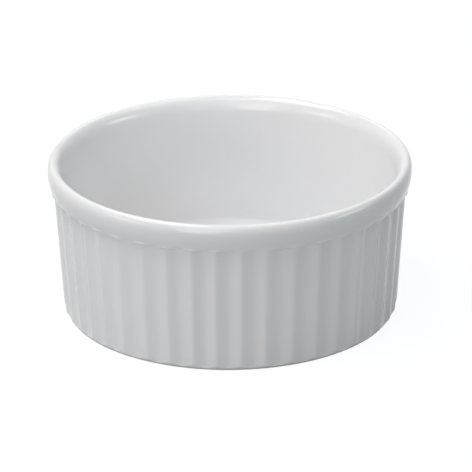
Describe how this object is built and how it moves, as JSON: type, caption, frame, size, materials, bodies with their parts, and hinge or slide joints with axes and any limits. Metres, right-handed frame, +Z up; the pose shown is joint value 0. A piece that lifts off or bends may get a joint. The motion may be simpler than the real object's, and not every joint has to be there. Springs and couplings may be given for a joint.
{
  "type": "ramekin",
  "caption": "Round straight-sided porcelain baking dish with a fluted outside wall, plain rim band, rounded lip and smooth inside.",
  "frame": {"origin": "centre of the foot ring's contact face, on the surface that the ramekin stands on", "axes": "+Z up along the ramekin's own axis of symmetry; the dish is the same all round, so X and Y are free"},
  "size_m": [0.1, 0.1, 0.0434],
  "materials": {
    "fired_clay": "matte",
    "glaze": "gloss"
  },
  "bodies": {
    "root": {"porcelain_body": "fired_clay", "glaze_coat": "glaze", "underside_glaze": "glaze"}
  },
  "joints": []
}
